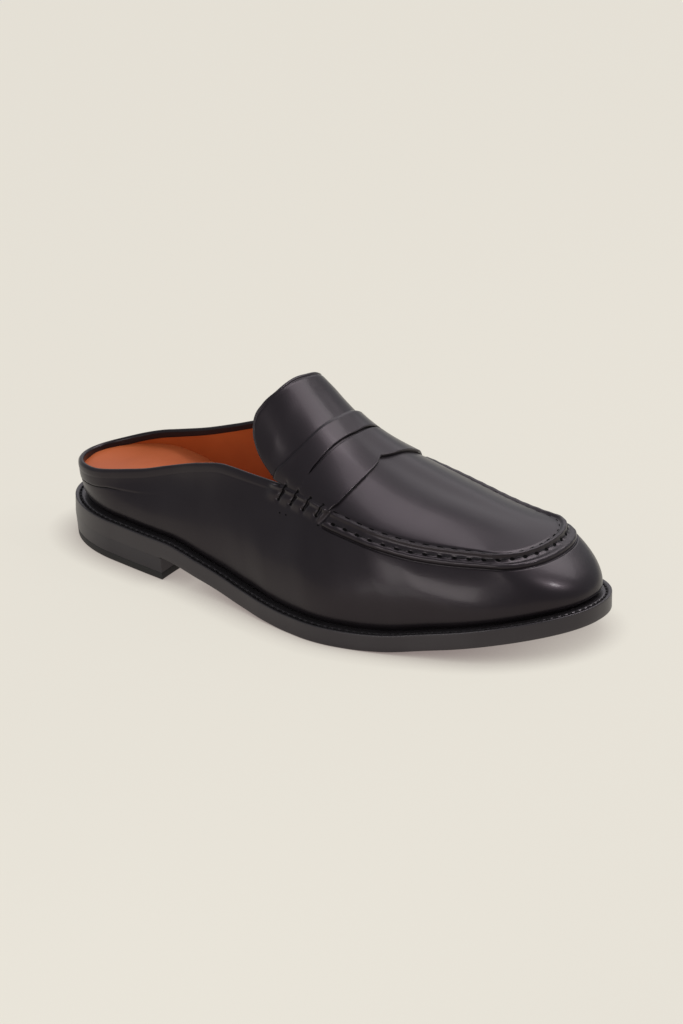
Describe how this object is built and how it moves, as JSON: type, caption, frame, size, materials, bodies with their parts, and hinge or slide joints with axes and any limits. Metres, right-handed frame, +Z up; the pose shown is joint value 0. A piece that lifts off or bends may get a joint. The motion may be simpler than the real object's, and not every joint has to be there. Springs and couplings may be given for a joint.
{
  "type": "mule shoe",
  "caption": "Right-foot backless leather loafer with moc-toe apron, slit saddle strap, low closed heel rim, cupped footbed, welted sole and low stacked heel.",
  "frame": {"origin": "middle of the shoe's box on the floor", "axes": "+X from heel to toe, +Y to the inner (medial) side of the foot, +Z up"},
  "size_m": [0.272, 0.1026, 0.0958],
  "materials": {
    "upper_leather": "smooth black calf, soft shine",
    "sole_edge": "black painted leather edge",
    "welt_leather": "black waxed leather",
    "top_lift_rubber": "black rubber",
    "footbed_leather": "natural cognac leather, dull"
  },
  "bodies": {
    "root": {"outsole": "sole_edge", "welt": "welt_leather", "heel": "sole_edge", "top_lift": "top_lift_rubber", "insole": "footbed_leather", "upper": "upper_leather", "tongue": "upper_leather", "strap": "upper_leather"}
  },
  "joints": []
}
